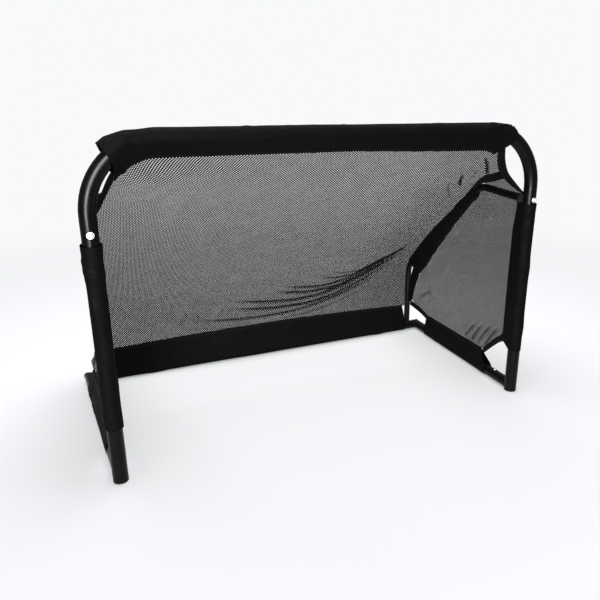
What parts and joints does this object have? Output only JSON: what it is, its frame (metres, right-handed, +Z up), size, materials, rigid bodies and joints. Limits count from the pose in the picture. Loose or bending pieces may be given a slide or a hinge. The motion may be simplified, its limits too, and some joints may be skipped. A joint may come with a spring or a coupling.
{
  "type": "soccer goal",
  "caption": "Small steel-tube soccer goal: bent front hoop, plug-in base frame with snap buttons, bent support arms and a black mesh net in slip-over fabric sleeves.",
  "frame": {"origin": "on the ground, in the middle of the goal's footprint", "axes": "+Z up, +X along the crossbar to the right as seen by a player facing the mouth, +Y from the mouth towards the rear bar"},
  "size_m": [1.2722, 0.6395, 0.8017],
  "materials": {
    "frame_tube": "black powder coat, fine satin texture",
    "stub_steel": "black powder coat on the hidden plug-in tubes",
    "weld_bead": "powder-coated weld bead",
    "cap_plastic": "matte black moulded plastic",
    "bright_bolt": "bright zinc-plated steel",
    "insert_steel": "plain steel",
    "button_steel": "bright plated steel",
    "spring_steel": "oiled spring steel",
    "sleeve_fabric": "black coated polyester, plain weave",
    "net_mesh": "fine black knitted polyester mesh",
    "binding_tape": "black woven binding tape"
  },
  "bodies": {
    "root": {"front_hoop": "frame_tube", "left_base_rail": "frame_tube", "right_base_rail": "frame_tube", "rear_base_bar": "frame_tube", "left_support_arm": "frame_tube", "right_support_arm": "frame_tube", "left_rail_stub": "stub_steel", "right_rail_stub": "stub_steel", "left_arm_peg": "stub_steel", "right_arm_peg": "stub_steel", "corner_welds": "weld_bead", "stub_welds": "weld_bead", "peg_welds": "weld_bead", "left_foot_cap": "cap_plastic", "right_foot_cap": "cap_plastic", "left_arm_saddle": "cap_plastic", "right_arm_saddle": "cap_plastic", "arm_bolts": "bright_bolt", "arm_bolt_washers": "bright_bolt", "arm_thread_inserts": "insert_steel", "left_spring_clip": "spring_steel", "right_spring_clip": "spring_steel", "crossbar_sleeve": "sleeve_fabric", "left_post_sleeve": "sleeve_fabric", "right_post_sleeve": "sleeve_fabric", "left_rail_sleeve": "sleeve_fabric", "right_rail_sleeve": "sleeve_fabric", "rear_bar_sleeve": "sleeve_fabric", "left_arm_sleeve": "sleeve_fabric", "right_arm_sleeve": "sleeve_fabric", "left_corner_panel": "sleeve_fabric", "right_corner_panel": "sleeve_fabric", "back_net": "net_mesh", "left_side_net": "net_mesh", "right_side_net": "net_mesh", "left_shoulder_net": "net_mesh", "right_shoulder_net": "net_mesh", "left_top_binding": "binding_tape", "right_top_binding": "binding_tape", "left_shoulder_tape": "binding_tape", "right_shoulder_tape": "binding_tape", "left_front_binding": "binding_tape", "right_front_binding": "binding_tape", "left_rear_binding": "binding_tape", "right_rear_binding": "binding_tape"},
    "left_button": {"left_snap_button": "button_steel"},
    "right_button": {"right_snap_button": "button_steel"}
  },
  "joints": [
    {"name": "left_button_press", "type": "slide", "parent": "root", "child": "left_button", "axis": [0, 0, 1], "range_m": [-0.005, 0], "stiffness_N_per_m": 1500, "springref_m": 0.002, "deforming": ["left_spring_clip"]},
    {"name": "right_button_press", "type": "slide", "parent": "root", "child": "right_button", "axis": [0, 0, 1], "range_m": [-0.005, 0], "stiffness_N_per_m": 1500, "springref_m": 0.002, "deforming": ["right_spring_clip"]}
  ]
}
